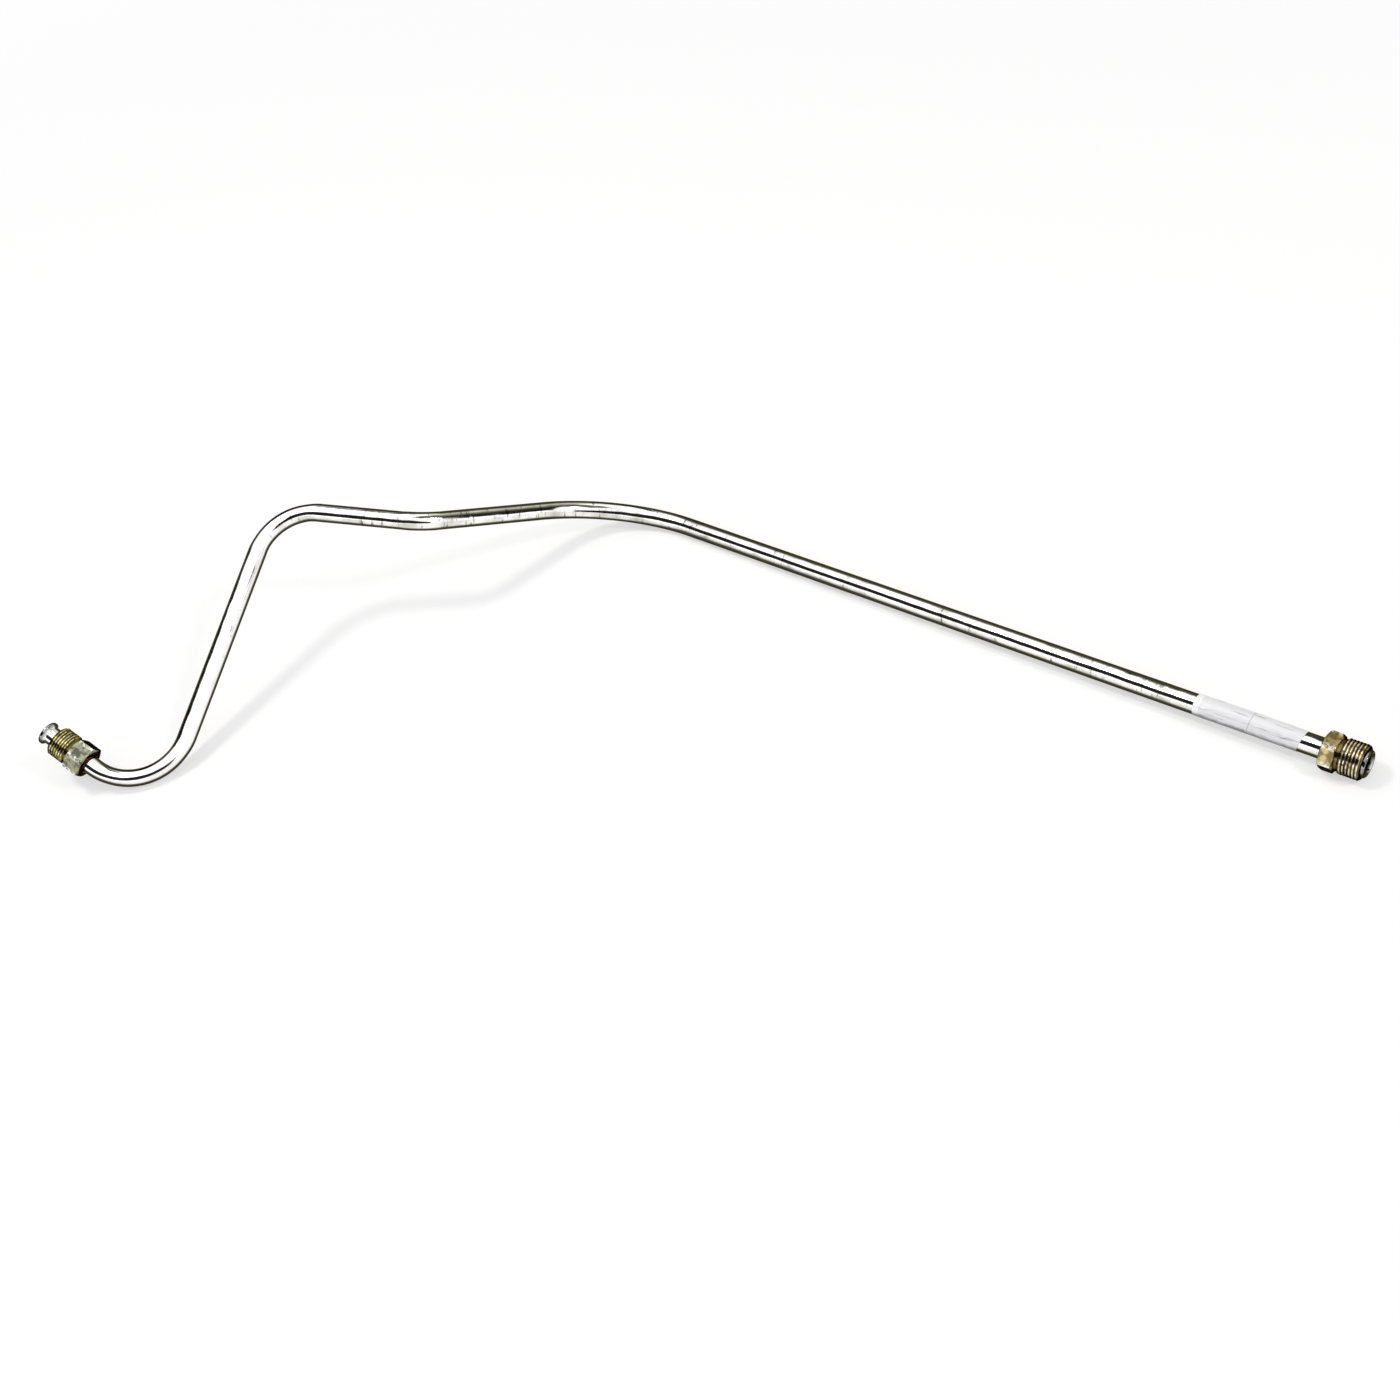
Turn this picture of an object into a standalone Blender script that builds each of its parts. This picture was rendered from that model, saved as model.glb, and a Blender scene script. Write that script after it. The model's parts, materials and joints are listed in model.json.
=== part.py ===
"""Preformed steel fuel line: a bent tube with double-flared ends, two captive tube nuts
and a blank paper label wrapped round its long run.

Metres, +Z up. The line lies as it comes to rest: on the outlet nut, on the start of its
long bend and on its foot bend. The long run lies along X, and the origin is the middle
of the footprint, on the surface that the line lies on.
"""

import math

import bmesh
import bpy
from mathutils import Matrix, Vector

MM = 0.001
INCH = 0.0254

# Tube stock, three-eighths of an inch, with a seamless wall
TUBE_DIAMETER = 0.375 * INCH
TUBE_WALL = 0.035 * INCH

# Straight lengths, walked from the outlet end to the inlet end
LONG_RUN = 367 * MM
RISE_RUN = 58 * MM
CREST_RUN = 43 * MM
DROP_RUN = 101 * MM
INLET_RUN = 31 * MM

# Turn of each bend, in degrees
LONG_BEND_ANGLE = 71
KNUCKLE_BEND_ANGLE = 38
CREST_BEND_ANGLE = 79
FOOT_BEND_ANGLE = 108

# Centreline radii of the two bending dies
LONG_BEND_RADIUS = 69 * MM
BEND_RADIUS = 30 * MM

# Turn of the bending plane before the second, third and fourth bends, in degrees
KNUCKLE_TWIST_ANGLE = 183
CREST_TWIST_ANGLE = 123
FOOT_TWIST_ANGLE = 177

# Double flare at each end, 45 degrees inside and outside
FLARE_DIAMETER = 12.4 * MM
FLARE_LIP_LAND = 0.25 * MM

# Tube nuts: five-eighths thread and hexagon, with a 45 degree recess for the flare
NUT_THREAD_DIAMETER = 0.625 * INCH
NUT_ACROSS_FLATS = 0.625 * INCH
NUT_THREAD_LENGTH = 10.8 * MM
OUTLET_NUT_HEX_LENGTH = 6.6 * MM
INLET_NUT_HEX_LENGTH = 9.8 * MM
NUT_BORE_CLEARANCE = 0.3 * MM
NUT_FLARE_CLEARANCE = 0.3 * MM
NUT_NOSE_WALL = 1.4 * MM
NUT_NOSE_CHAMFER = 0.7 * MM
NUT_HEX_CHAMFER_ANGLE = 30
NUT_CHAMFER_DIAMETER = 15.1 * MM
NUT_BACK_CHAMFER = 0.5 * MM
NUT_RELIEF_WIDTH = 1.3 * MM
NUT_RELIEF_DEPTH = 0.8 * MM
INLET_NUT_SLIP = 5.6 * MM

# Paper label, rolled once round the tube with an overlap
LABEL_LENGTH = 48 * MM
LABEL_FROM_END = 28.5 * MM
LABEL_THICKNESS = 0.12 * MM
LABEL_GAP = 0.2 * MM
LABEL_STEP = 0.2 * MM
LABEL_OVERLAP_ANGLE = 50
LABEL_SEAM_ANGLE = 215

# Turn of Blender's six-sided primitive that brings a flat towards +Y, in degrees
HEX_FLAT_UP_ANGLE = 30
FULL_TURN = 360

# Facets, and the angle past which an edge is shaded sharp
TUBE_RESOLUTION = 8
BEND_STEP_ANGLE = 5.5
LIP_STEPS = 3
TURNED_STEPS = 32
LABEL_STEPS = 36
SHARP_ANGLE = 35

TUBE_RADIUS = TUBE_DIAMETER / 2
BORE_RADIUS = TUBE_RADIUS - TUBE_WALL
FLARE_RADIUS = FLARE_DIAMETER / 2
NUT_BORE_RADIUS = TUBE_RADIUS + NUT_BORE_CLEARANCE
THREAD_RADIUS = NUT_THREAD_DIAMETER / 2

# The flare folds the wall double, so its two cones lie two walls apart
FLARE_MOUTH_RADIUS = FLARE_RADIUS - TUBE_WALL - FLARE_LIP_LAND
FLARE_LENGTH = FLARE_RADIUS - TUBE_RADIUS - TUBE_WALL + 2 * math.sqrt(2) * TUBE_WALL
NUT_RECESS_RADIUS = THREAD_RADIUS - NUT_NOSE_WALL

# From the flare's end face to the nose of a nut that is pushed up to it: the cone of the
# nut's recess then stands NUT_FLARE_CLEARANCE off the flare's back cone
NUT_SEAT = FLARE_LENGTH + NUT_FLARE_CLEARANCE * math.sqrt(2) - (NUT_RECESS_RADIUS - TUBE_RADIUS)

# A cutter runs this far past the face that it opens, and points this close are one point
CUT_OVERRUN = 1 * MM
MERGE_DISTANCE = 0.001 * MM

# The route leans over by an angle between these, in degrees, found by halving
LEAN_CLEAR_ANGLE = -75
LEAN_UNDER_FLOOR_ANGLE = 15
HALVINGS = 50

RUNS = [LONG_RUN, RISE_RUN, CREST_RUN, DROP_RUN, INLET_RUN]
TURNS = [LONG_BEND_ANGLE, KNUCKLE_BEND_ANGLE, CREST_BEND_ANGLE, FOOT_BEND_ANGLE]
RADII = [LONG_BEND_RADIUS, BEND_RADIUS, BEND_RADIUS, BEND_RADIUS]
TWISTS = [0, KNUCKLE_TWIST_ANGLE, CREST_TWIST_ANGLE, FOOT_TWIST_ANGLE]


def clear_scene():
    """Takes every object out of the open file."""
    for old in list(bpy.data.objects):
        bpy.data.objects.remove(old, do_unlink=True)


def new_collection(name):
    """Adds a collection to the scene."""
    collection = bpy.data.collections.new(name)
    bpy.context.scene.collection.children.link(collection)
    return collection


def new_material(name, colour, roughness, metallic):
    """A plain material, with its colour in linear values."""
    material = bpy.data.materials.new(name)
    material.use_nodes = True
    shader = material.node_tree.nodes["Principled BSDF"]
    shader.inputs["Base Color"].default_value = (*colour, 1)
    shader.inputs["Roughness"].default_value = roughness
    shader.inputs["Metallic"].default_value = metallic
    return material


def bent_route():
    """Corner and arc points of the centreline, from the outlet end, with the long run along -X.

    Returns the points, and the number of the point where each run starts.
    """
    point = Vector((0, 0, 0))
    heading = Vector((-1, 0, 0))
    towards = Vector((0, -1, 0))
    points = [point.copy()]
    starts = [0]
    for run, turn, radius, twist in zip(RUNS, TURNS + [0], RADII + [BEND_RADIUS], TWISTS + [0]):
        point = point + heading * run
        points.append(point.copy())
        if not turn:
            break
        towards = Matrix.Rotation(math.radians(twist), 3, heading) @ towards
        centre = point + towards * radius
        hinge = heading.cross(towards)
        steps = max(2, math.ceil(turn / BEND_STEP_ANGLE))
        for step in range(1, steps + 1):
            swing = Matrix.Rotation(math.radians(turn) * step / steps, 3, hinge)
            points.append(centre + swing @ (point - centre))
        heading = swing @ heading
        towards = swing @ towards
        point = points[-1].copy()
        starts.append(len(points) - 1)
    return points, starts


def settled(points, starts):
    """The turn that lays the route on the floor, as a 3 by 3 matrix.

    The outlet nut stands on the back edge of its flat and lifts its end of the long run.
    The route then leans over, about the long run, until its lowest point at the other
    side is as low as the far end of the long run.
    """
    nut_back = NUT_SEAT + NUT_THREAD_LENGTH + OUTLET_NUT_HEX_LENGTH
    lift = math.asin((NUT_ACROSS_FLATS - TUBE_DIAMETER) / 2 / (LONG_RUN - nut_back))
    tip = Matrix.Rotation(-lift, 3, "Y")
    far_side = points[starts[2]:]
    floor = (tip @ points[1]).z

    def lean_matrix(lean):
        return tip @ Matrix.Rotation(lean, 3, "X")

    def clearance(lean):
        return min((lean_matrix(lean) @ point).z for point in far_side) - floor

    high = math.radians(LEAN_CLEAR_ANGLE)
    low = math.radians(LEAN_UNDER_FLOOR_ANGLE)
    for _ in range(HALVINGS):
        middle = (high + low) / 2
        if clearance(middle) > 0:
            high = middle
        else:
            low = middle
    return lean_matrix(high)


def flare_outside():
    """Distance from the end face and outer radius, from the lip back to the plain tube."""
    stations = []
    for step in range(LIP_STEPS + 1):
        angle = math.pi / 2 * step / LIP_STEPS
        distance = TUBE_WALL * (1 - math.cos(angle))
        stations.append((distance, FLARE_RADIUS - TUBE_WALL + TUBE_WALL * math.sin(angle)))
    stations.append((FLARE_LENGTH - (FLARE_RADIUS - TUBE_RADIUS), FLARE_RADIUS))
    stations.append((FLARE_LENGTH, TUBE_RADIUS))
    return stations


def flare_inside():
    """Distance from the end face and inner radius, from outside the mouth back to the bore."""
    return [
        (-CUT_OVERRUN, FLARE_MOUTH_RADIUS + CUT_OVERRUN),
        (FLARE_MOUTH_RADIUS - BORE_RADIUS, BORE_RADIUS),
    ]


def round_bar(name, points, end_stations, radius):
    """A solid of round section along the route, whose ends follow the stations."""
    first, last = points[0], points[-1]
    out_first = (points[0] - points[1]).normalized()
    out_last = (points[-1] - points[-2]).normalized()
    path = [(first - out_first * distance, size) for distance, size in end_stations]
    path += [(point, radius) for point in points[1:-1]]
    path += [(last - out_last * distance, size) for distance, size in reversed(end_stations)]

    data = bpy.data.curves.new(name + "_path", "CURVE")
    data.dimensions = "3D"
    data.bevel_depth = radius
    data.bevel_resolution = TUBE_RESOLUTION
    data.use_fill_caps = True
    data.twist_mode = "MINIMUM"
    spline = data.splines.new("POLY")
    spline.points.add(len(path) - 1)
    for spot, (place, size) in zip(spline.points, path):
        spot.co = (*place, 1)
        spot.radius = size / radius
    guide = bpy.data.objects.new(name + "_path", data)
    bpy.context.scene.collection.objects.link(guide)
    bpy.context.view_layer.update()

    evaluated = guide.evaluated_get(bpy.context.evaluated_depsgraph_get())
    mesh = bpy.data.meshes.new_from_object(evaluated)
    bpy.data.objects.remove(guide, do_unlink=True)
    solid = bmesh.new()
    solid.from_mesh(mesh)
    bmesh.ops.remove_doubles(solid, verts=solid.verts, dist=MERGE_DISTANCE)
    solid.to_mesh(mesh)
    solid.free()
    return bpy.data.objects.new(name, mesh)


def turned(name, profile):
    """A turned solid about Z. The profile is (radius, height) down the outer side, top to bottom."""
    mesh = bpy.data.meshes.new(name)
    outline = bmesh.new()
    spots = [outline.verts.new((radius, 0, height)) for radius, height in profile]
    for upper, lower in zip(spots, spots[1:]):
        outline.edges.new((upper, lower))
    outline.to_mesh(mesh)
    outline.free()
    body = bpy.data.objects.new(name, mesh)
    screw = body.modifiers.new("turned", "SCREW")
    screw.axis = "Z"
    screw.steps = TURNED_STEPS
    screw.render_steps = TURNED_STEPS
    screw.use_merge_vertices = True
    screw.merge_threshold = MERGE_DISTANCE
    return body


def hexagon(name, across_flats, top, bottom):
    """A hexagonal bar about Z with a flat towards +Y."""
    mesh = bpy.data.meshes.new(name)
    bar = bmesh.new()
    corner = across_flats / math.sqrt(3)
    middle = Matrix.Translation((0, 0, (top + bottom) / 2))
    bmesh.ops.create_cone(
        bar, cap_ends=True, segments=6, radius1=corner, radius2=corner, depth=top - bottom,
        matrix=middle @ Matrix.Rotation(math.radians(HEX_FLAT_UP_ANGLE), 4, "Z"))
    bar.to_mesh(mesh)
    bar.free()
    return bpy.data.objects.new(name, mesh)


def join(target, tool, operation, collection):
    """Adds a Boolean to the target, and keeps its tool as a wire guide that moves with it."""
    collection.objects.link(tool)
    tool.parent = target
    tool.hide_render = True
    tool.display_type = "WIRE"
    boolean = target.modifiers.new(tool.name, "BOOLEAN")
    boolean.operation = operation
    boolean.solver = "EXACT"
    boolean.object = tool


def tube_nut(name, hex_length, material, collection, cutters):
    """A tube nut about Z: nose face at the origin, thread below it and the hexagon lowest."""
    hex_top = -NUT_THREAD_LENGTH
    back = hex_top - hex_length
    middle = (hex_top + back) / 2
    corner = NUT_ACROSS_FLATS / math.sqrt(3) + CUT_OVERRUN
    crown = NUT_CHAMFER_DIAMETER / 2
    slope = math.tan(math.radians(NUT_HEX_CHAMFER_ANGLE))
    fall = (corner - crown) * slope
    tip = crown - CUT_OVERRUN / slope
    nut = hexagon(name, NUT_ACROSS_FLATS, hex_top, back)
    collection.objects.link(nut)

    crowns = turned(name + "_crowns", [
        (0, hex_top + CUT_OVERRUN),
        (tip, hex_top + CUT_OVERRUN),
        (corner, hex_top - fall),
        (corner, back + fall),
        (tip, back - CUT_OVERRUN),
        (0, back - CUT_OVERRUN)])
    join(nut, crowns, "INTERSECT", cutters)

    relief_radius = THREAD_RADIUS - NUT_RELIEF_DEPTH
    shank = turned(name + "_shank", [
        (0, 0),
        (THREAD_RADIUS - NUT_NOSE_CHAMFER, 0),
        (THREAD_RADIUS, -NUT_NOSE_CHAMFER),
        (THREAD_RADIUS, hex_top + NUT_RELIEF_WIDTH + NUT_RELIEF_DEPTH),
        (relief_radius, hex_top + NUT_RELIEF_WIDTH),
        (relief_radius, middle),
        (0, middle)])
    join(nut, shank, "UNION", cutters)

    bore = turned(name + "_bore", [
        (0, CUT_OVERRUN),
        (NUT_RECESS_RADIUS + CUT_OVERRUN, CUT_OVERRUN),
        (NUT_BORE_RADIUS, NUT_BORE_RADIUS - NUT_RECESS_RADIUS),
        (NUT_BORE_RADIUS, back + NUT_BACK_CHAMFER),
        (NUT_BORE_RADIUS + NUT_BACK_CHAMFER + CUT_OVERRUN, back - CUT_OVERRUN),
        (0, back - CUT_OVERRUN)])
    join(nut, bore, "DIFFERENCE", cutters)
    nut.data.materials.append(material)
    return nut


def end_frame(end, outward, distance):
    """A frame on the tube's axis at a distance from an end: +Z outwards, +Y as far up as it can be."""
    side = Vector((0, 0, 1)).cross(outward).normalized()
    up = outward.cross(side)
    turn = Matrix((side, up, outward)).transposed().to_4x4()
    return Matrix.Translation(end - outward * distance) @ turn


def wrap_label(name, material, collection):
    """The label about Z: one strip of paper rolled round the tube until it laps over itself."""
    mesh = bpy.data.meshes.new(name)
    strip = bmesh.new()
    inner = TUBE_RADIUS + LABEL_GAP
    sweep = FULL_TURN + LABEL_OVERLAP_ANGLE
    spots = []
    for step in range(LABEL_STEPS + 1):
        angle = sweep * step / LABEL_STEPS
        radius = inner + LABEL_STEP * angle / FULL_TURN
        turn = math.radians(angle + LABEL_SEAM_ANGLE)
        spots.append(strip.verts.new((radius * math.cos(turn), radius * math.sin(turn), 0)))
    edges = [strip.edges.new(pair) for pair in zip(spots, spots[1:])]
    drawn = bmesh.ops.extrude_edge_only(strip, edges=edges)
    moved = [item for item in drawn["geom"] if isinstance(item, bmesh.types.BMVert)]
    bmesh.ops.translate(strip, verts=moved, vec=(0, 0, LABEL_LENGTH))
    bmesh.ops.recalc_face_normals(strip, faces=strip.faces)
    strip.to_mesh(mesh)
    strip.free()
    label = bpy.data.objects.new(name, mesh)
    collection.objects.link(label)
    paper = label.modifiers.new("paper", "SOLIDIFY")
    paper.thickness = LABEL_THICKNESS
    first = mesh.polygons[0]
    paper.offset = math.copysign(1, first.normal.dot(first.center))
    label.data.materials.append(material)
    return label


def smooth(piece, angle):
    """Shades a piece smooth, with sharp edges past the angle."""
    piece.data.shade_smooth()
    piece.data.set_sharp_from_angle(angle=math.radians(angle))


def stand_on_origin(pieces, root):
    """Moves the root so that the middle of the footprint is at the origin, on the floor."""
    bpy.context.view_layer.update()
    graph = bpy.context.evaluated_depsgraph_get()
    spots = []
    for piece in pieces:
        shape = piece.evaluated_get(graph)
        mesh = shape.to_mesh()
        spots += [shape.matrix_world @ vertex.co for vertex in mesh.vertices]
        shape.to_mesh_clear()
    low = [min(spot[axis] for spot in spots) for axis in range(3)]
    high = [max(spot[axis] for spot in spots) for axis in range(3)]
    root.location = (-(low[0] + high[0]) / 2, -(low[1] + high[1]) / 2, -low[2])
    bpy.context.view_layer.update()


def main():
    clear_scene()
    parts = new_collection("fuel_line")
    cutters = new_collection("cutters")
    steel = new_material("bright_steel_tube", (0.62, 0.62, 0.61), 0.16, 1)
    gold_zinc = new_material("yellow_zinc_nut", (0.45, 0.36, 0.14), 0.3, 1)
    paper = new_material("label_paper", (0.82, 0.82, 0.88), 0.6, 0)

    points, starts = bent_route()
    lay = settled(points, starts)
    points = [lay @ point for point in points]
    root = bpy.data.objects.new("fuel_line_root", None)
    parts.objects.link(root)

    tube = round_bar("fuel_tube", points, flare_outside(), TUBE_RADIUS)
    parts.objects.link(tube)
    bore = round_bar("fuel_tube_bore", points, flare_inside(), BORE_RADIUS)
    join(tube, bore, "DIFFERENCE", cutters)
    tube.data.materials.append(steel)

    outlet_out = (points[0] - points[1]).normalized()
    inlet_out = (points[-1] - points[-2]).normalized()
    outlet_nut = tube_nut("outlet_nut", OUTLET_NUT_HEX_LENGTH, gold_zinc, parts, cutters)
    outlet_nut.matrix_world = end_frame(points[0], outlet_out, NUT_SEAT)
    inlet_nut = tube_nut("inlet_nut", INLET_NUT_HEX_LENGTH, gold_zinc, parts, cutters)
    inlet_nut.matrix_world = end_frame(points[-1], inlet_out, NUT_SEAT + INLET_NUT_SLIP)

    label = wrap_label("wrap_label", paper, parts)
    label.matrix_world = end_frame(points[0], outlet_out, LABEL_FROM_END + LABEL_LENGTH)

    pieces = [tube, outlet_nut, inlet_nut, label]
    for piece in pieces:
        smooth(piece, SHARP_ANGLE)
        piece.parent = root
    stand_on_origin(pieces, root)


main()
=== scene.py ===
import json
import math

import bpy
from mathutils import Matrix, Vector


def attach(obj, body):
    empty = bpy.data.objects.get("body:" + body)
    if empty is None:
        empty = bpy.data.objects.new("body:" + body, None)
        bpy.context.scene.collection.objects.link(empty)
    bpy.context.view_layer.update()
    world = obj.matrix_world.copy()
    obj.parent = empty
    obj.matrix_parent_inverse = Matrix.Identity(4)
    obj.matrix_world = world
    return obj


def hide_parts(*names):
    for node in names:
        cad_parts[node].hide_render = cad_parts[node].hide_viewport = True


bl_info = {
    "name": "Preformed fuel line",
    "version": (1, 0, 0),
    "blender": (4, 5, 0),
    "location": "3D View > Sidebar > Fuel Line",
    "description": "Dresses a bent steel fuel line: tube, threaded nuts and blank label",
    "category": "Add Mesh",
}

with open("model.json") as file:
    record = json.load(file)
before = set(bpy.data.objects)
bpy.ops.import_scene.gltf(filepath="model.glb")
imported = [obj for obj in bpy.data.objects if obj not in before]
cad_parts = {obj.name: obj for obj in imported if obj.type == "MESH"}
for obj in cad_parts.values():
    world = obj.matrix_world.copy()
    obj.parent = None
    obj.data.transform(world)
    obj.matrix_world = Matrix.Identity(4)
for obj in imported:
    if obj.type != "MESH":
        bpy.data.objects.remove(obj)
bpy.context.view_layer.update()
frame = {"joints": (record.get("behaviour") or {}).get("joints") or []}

MM = 0.001
INCH = 0.0254

# The picture is square, so the lens follows from the focal length in pixels of its width
SENSOR_WIDTH = 36
PICTURE_WIDTH = 1400
FOCAL_PIXELS = 1700

# Nothing else lies this close to the tube's centreline, so it tells which move a point belongs to
REACH = 9 * MM
SLACK = 0.01 * MM

# Points closer than this are merged
WELD = 0.002 * MM

# A Mix node's two colour inputs and its colour result, whose names other sockets share
MIX_A, MIX_B, MIX_RESULT = 6, 7, 2


def srgb(code):
    """Linear colour of an sRGB hex value."""
    shares = [int(code[place:place + 2], 16) / 255 for place in (1, 3, 5)]
    return tuple(
        share / 12.92 if share <= 0.04045 else ((share + 0.055) / 1.055) ** 2.4
        for share in shares)


def length_of(label, note, size):
    """A length that a user would change, in metres."""
    return bpy.props.FloatProperty(
        name=label, description=note, default=size, unit="LENGTH", precision=5)


def angle_of(label, note, degrees):
    """An angle that a user would change."""
    return bpy.props.FloatProperty(
        name=label, description=note, default=math.radians(degrees),
        unit="ROTATION", precision=4)


def colour_of(label, note, code):
    """A colour that a user would change."""
    return bpy.props.FloatVectorProperty(
        name=label, description=note, default=srgb(code), size=3, min=0, max=1,
        subtype="COLOR")


class FuelLineTube(bpy.types.PropertyGroup):
    """Tube stock, bending table and flares, from the outlet end to the inlet end."""

    diameter: length_of("Diameter", "Outside diameter of the tube", 0.375 * INCH)
    wall: length_of("Wall", "Wall of the tube", 0.035 * INCH)
    long_run: length_of("Long run", "Straight from the outlet end to the long bend", 367 * MM)
    rise_run: length_of("Rise run", "Straight from the long bend to the knuckle", 58 * MM)
    crest_run: length_of("Crest run", "Straight from the knuckle to the crest bend", 43 * MM)
    drop_run: length_of("Drop run", "Straight from the crest bend to the foot bend", 101 * MM)
    inlet_run: length_of("Inlet run", "Straight from the foot bend to the inlet end", 31 * MM)
    long_bend: angle_of("Long bend", "Turn of the long bend", 71)
    knuckle_bend: angle_of("Knuckle bend", "Turn of the knuckle bend", 38)
    crest_bend: angle_of("Crest bend", "Turn of the crest bend", 79)
    foot_bend: angle_of("Foot bend", "Turn of the foot bend", 108)
    long_radius: length_of("Long bend radius", "Centreline radius of the long bend", 69 * MM)
    small_radius: length_of("Small bend radius", "Centreline radius of the other bends", 30 * MM)
    knuckle_twist: angle_of("Knuckle twist", "Turn of the plane before the knuckle", 183)
    crest_twist: angle_of("Crest twist", "Turn of the plane before the crest bend", 123)
    foot_twist: angle_of("Foot twist", "Turn of the plane before the foot bend", 177)
    lean: angle_of("Lean", "Turn about the long run as the line lies on the floor", -26.6919)
    flattening: bpy.props.FloatProperty(
        name="Flattening", description="Share by which a small bend is flattened", default=0.07)
    flare_diameter: length_of("Flare", "Diameter of the double flares", 12.4 * MM)
    flare_land: length_of("Flare land", "Flat between the flare's mouth and its lip", 0.25 * MM)


class FuelLineNuts(bpy.types.PropertyGroup):
    """The two tube nuts."""

    thread_diameter: length_of("Thread", "Outside diameter of the thread", 0.625 * INCH)
    pitch: length_of("Pitch", "Pitch of the thread, eighteen to the inch", INCH / 18)
    thread_depth: length_of("Thread depth", "From the thread's crest to its root", 0.67 * MM)
    across_flats: length_of("Across flats", "Size of the hexagon", 0.625 * INCH)
    thread_length: length_of("Thread length", "From the nose to the hexagon", 10.8 * MM)
    outlet_hex: length_of("Outlet hexagon", "Length of the outlet nut's hexagon", 6.6 * MM)
    inlet_hex: length_of("Inlet hexagon", "Length of the inlet nut's hexagon", 9.8 * MM)
    seat: length_of("Seat", "From the flare's end face to the seated nut's nose", 1.7122 * MM)


class FuelLineLabel(bpy.types.PropertyGroup):
    """The paper label."""

    length: length_of("Length", "Length of the label along the tube", 48 * MM)
    from_end: length_of("From end", "From the tube's outlet end to the label", 28.5 * MM)
    thickness: length_of("Thickness", "Thickness of the paper", 0.1 * MM)
    overlap: angle_of("Overlap", "How far the label laps over itself", 52)
    seam: angle_of("Seam", "Where the label starts, about the tube", 88)


class FuelLineColours(bpy.types.PropertyGroup):
    """Colours of the finishes."""

    steel: colour_of("Steel", "Bright drawn steel", "#f9f8f4")
    steel_stain: colour_of("Steel stain", "Faint storage stains on the steel", "#a9a497")
    # This colour also paints shade on the tube where it is seen edge-on
    steel_rubs_and_edge_shade: colour_of("Steel edge", "Steel seen edge-on, and its rub marks", "#47463d")
    bare: colour_of("Bare steel", "Uncoated, oiled steel of the bore and the flares", "#34322d")
    gold: colour_of("Yellow zinc", "Yellow passivated outlet nut", "#b3a273")
    bronze: colour_of("Bronze zinc", "Where the outlet nut's film is thick", "#786746")
    olive: colour_of("Olive zinc", "Thread of the inlet nut", "#a69b42")
    moss: colour_of("Moss zinc", "Where the film of that thread is thick", "#6a6429")
    pewter: colour_of("Pewter zinc", "Hexagon of the inlet nut", "#96947c")
    slate: colour_of("Slate zinc", "Where the film of that hexagon is thick", "#53574a")
    rubbed: colour_of("Rubbed zinc", "Crests and corners that are rubbed bright", "#e2dfd0")
    # This colour also paints shade on the nuts where they are seen edge-on
    root: colour_of("Thread root", "Film and grime that stay in the thread", "#4d3f22")
    paper: colour_of("Paper", "Coated label paper", "#e3e3e5")
    margin: colour_of("Margin", "Bare margin at one end of the label", "#f6f6f7")
    # Painted shade: this colour darkens the label's underside and its creases, and marks the
    # perforation
    label_shade_and_perforation: colour_of("Soiled paper", "Where the label has rubbed on the bench", "#70706d")
    floor: colour_of("Floor", "White table top", "#f7f7f7")
    shade: colour_of("Floor under light", "Share of the white that a shadow takes", "#c1c1c1")


def add_node(tree, kind, settings=(), links=()):
    """Adds a node, sets its properties or its inputs, and links others into it.

    A link is (input of the new node, node it comes from, output of that node). Inputs and
    outputs go by name or by number.
    """
    node = tree.nodes.new(kind)
    for name, value in dict(settings).items():
        if isinstance(name, int) or name in node.inputs:
            node.inputs[name].default_value = value
        else:
            setattr(node, name, value)
    for name, source, output in links:
        tree.links.new(source.outputs[output], node.inputs[name])
    return node


def new_material(name):
    """A material with an empty tree and its output."""
    material = bpy.data.materials.new(name)
    material.use_nodes = True
    material.node_tree.nodes.clear()
    return material, material.node_tree


def deselect():
    """Leaves nothing selected."""
    if bpy.context.object and bpy.context.object.mode != "OBJECT":
        bpy.ops.object.mode_set(mode="OBJECT")
    bpy.ops.object.select_all(action="DESELECT")


def pick(piece):
    """Makes one piece the selected and active one."""
    deselect()
    piece.select_set(True)
    bpy.context.view_layer.objects.active = piece


def apply_modifier(piece, kind, **settings):
    """Adds a modifier to a piece and applies it."""
    pick(piece)
    modifier = piece.modifiers.new(kind.lower(), kind)
    for name, value in settings.items():
        setattr(modifier, name, value)
    bpy.ops.object.modifier_apply(modifier=modifier.name)


def remember_place(piece, name, straighten):
    """Stores where each point was before bending or turning, for the patterns of the finish."""
    layer = piece.data.attributes.new(name, "FLOAT_VECTOR", "POINT")
    for vertex, spot in zip(piece.data.vertices, layer.data):
        spot.vector = straighten(vertex.co)


def paint_edge_shade(tree, colour, edge, starts, full, fades=1.0, gone=1.1):
    """A metal's colour with painted shade: it falls to a darker colour where it is seen edge-on, as
    the rims of metal look in a light tent.

    The slants run from 0, seen straight on, to 1, seen edge-on. Past those where the dark
    fades, the metal's own colour comes back.
    """
    slant = add_node(tree, "ShaderNodeLayerWeight", {"Blend": 0.5})
    edge_on, not_flat = (
        add_node(
            tree, "ShaderNodeMapRange", {"From Min": none, "From Max": whole},
            [("Value", slant, "Facing")])
        for none, whole in ((starts, full), (gone, fades)))
    dark = add_node(
        tree, "ShaderNodeMath", {"operation": "MULTIPLY"},
        [(0, edge_on, "Result"), (1, not_flat, "Result")])
    return add_node(
        tree, "ShaderNodeMix", {"data_type": "RGBA", MIX_B: (*edge, 1)},
        [("Factor", dark, "Value"), (MIX_A, colour, MIX_RESULT)])


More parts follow.
